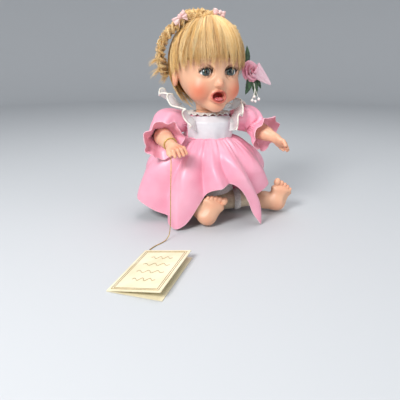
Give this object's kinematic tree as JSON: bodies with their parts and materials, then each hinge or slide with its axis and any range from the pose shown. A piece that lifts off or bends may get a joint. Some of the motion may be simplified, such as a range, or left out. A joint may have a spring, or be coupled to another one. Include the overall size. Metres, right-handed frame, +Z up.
{
  "type": "porcelain doll",
  "caption": "Seated collectible doll with bisque head, hands and feet on a stuffed cloth body, in a satin dress with a braided wig and a hang tag.",
  "frame": {"origin": "middle of the flat seat under the bloomers, on the surface that the doll sits on", "axes": "+Z up, -Y the way that the doll's body faces, +X the doll's own left"},
  "size_m": [0.2025, 0.2186, 0.2114],
  "materials": {
    "body_cloth": "plain woven cotton, stuffed",
    "bisque": "matt painted bisque with a warm blush",
    "pink_satin": "glossy pink satin",
    "white_satin": "glossy white satin",
    "organza": "sheer white organza with a satin edge",
    "white_lace": "cotton lace",
    "hair": "golden blond mohair",
    "glass_eye": "blown glass, blue-grey iris",
    "lash": "fine dark fibre",
    "plaster": "set plaster",
    "tongue_pink": "glossy painted pink",
    "pate_card": "pressed card",
    "bow_ribbon": "pale pink satin ribbon",
    "rose_satin": "pink satin petals",
    "leaf": "dark green waxed cloth",
    "pearl": "pearl lustre",
    "steel": "plain drawn steel",
    "snap_metal": "small nickel press studs",
    "gold_elastic": "gold elastic thread",
    "gold_cord": "fine twisted gold cord",
    "card": "cream card with a gold border"
  },
  "bodies": {
    "torso": {"soft_body": "body_cloth", "bloomers": "white_lace", "shoulder_plate": "bisque", "bodice": "pink_satin", "bib_panel": "white_satin", "back_snaps": "snap_metal", "neck_lace": "white_lace", "skirt": "pink_satin", "shoulder_ruffle_left": "organza", "shoulder_ruffle_right": "organza"},
    "neck": {"neck_bolt": "steel", "neck_washer": "steel", "neck_spring": "steel", "wing_nut": "steel"},
    "head": {"head_shell": "bisque", "pate": "pate_card", "eye_left": "glass_eye", "eye_right": "glass_eye", "eyelash_left": "lash", "eyelash_right": "lash", "eye_plaster": "plaster", "tongue": "tongue_pink", "wig": "hair", "fringe": "hair", "braid_left": "hair", "braid_right": "hair", "braid_crown": "hair", "bow_left": "bow_ribbon", "bow_right": "bow_ribbon", "rose_bloom": "rose_satin", "rose_leaves": "leaf", "rose_ribbon": "organza", "pearl_spray": "pearl"},
    "upper_arm_left": {"upper_arm_left": "body_cloth", "arm_wire_left": "steel", "sleeve_left": "pink_satin"},
    "forearm_left": {"forearm_left": "bisque", "arm_tie_left": "body_cloth", "sleeve_frill_left": "pink_satin"},
    "thigh_left": {"upper_leg_left": "body_cloth", "bloomer_leg_left": "white_lace"},
    "shin_left": {"lower_leg_left": "bisque", "leg_tie_left": "body_cloth"},
    "upper_arm_right": {"upper_arm_right": "body_cloth", "arm_wire_right": "steel", "sleeve_right": "pink_satin"},
    "forearm_right": {"forearm_right": "bisque", "arm_tie_right": "body_cloth", "sleeve_frill_right": "pink_satin", "wrist_band": "gold_elastic", "tag_cord": "gold_cord", "tag_card": "card"},
    "thigh_right": {"upper_leg_right": "body_cloth", "bloomer_leg_right": "white_lace"},
    "shin_right": {"lower_leg_right": "bisque", "leg_tie_right": "body_cloth"}
  },
  "joints": [
    {"name": "head_nod", "type": "hinge", "parent": "torso", "child": "neck", "pos_m": [0, 0.002, 0.116], "axis": [1, 0, 0], "range_deg": [-6, 6]},
    {"name": "head_turn", "type": "hinge", "parent": "neck", "child": "head", "pos_m": [0, 0.002, 0.116], "axis": [0, 0, 1], "range_deg": [-50, 30]},
    {"name": "shoulder_left", "type": "hinge", "parent": "torso", "child": "upper_arm_left", "pos_m": [0.031, 0, 0.102], "axis": [-1, 0, 0], "range_deg": [-4, 28]},
    {"name": "elbow_left", "type": "hinge", "parent": "upper_arm_left", "child": "forearm_left", "pos_m": [0.05, -0.01, 0.095], "axis": [-0.2976, 0.0992, -0.9495], "range_deg": [-15, 25]},
    {"name": "shoulder_right", "type": "hinge", "parent": "torso", "child": "upper_arm_right", "pos_m": [-0.031, 0, 0.102], "axis": [-1, 0, 0], "range_deg": [-4, 28]},
    {"name": "elbow_right", "type": "hinge", "parent": "upper_arm_right", "child": "forearm_right", "pos_m": [-0.051, -0.018, 0.092], "axis": [-0.2538, -0.2388, 0.9373], "range_deg": [-15, 25]},
    {"name": "hip_left", "type": "hinge", "parent": "torso", "child": "thigh_left", "pos_m": [0.016, -0.004, 0.014], "axis": [0, 1, 0], "range_deg": [0, 60]},
    {"name": "knee_left", "type": "hinge", "parent": "thigh_left", "child": "shin_left", "pos_m": [0.0476, -0.006, 0.015], "axis": [0, 1, 0], "range_deg": [0, 20]},
    {"name": "hip_right", "type": "hinge", "parent": "torso", "child": "thigh_right", "pos_m": [-0.016, -0.004, 0.014], "axis": [1, 0, 0], "range_deg": [0, 80]},
    {"name": "knee_right", "type": "hinge", "parent": "thigh_right", "child": "shin_right", "pos_m": [-0.027, -0.029, 0.03], "axis": [-1, 0, 0], "range_deg": [0, 12]}
  ]
}
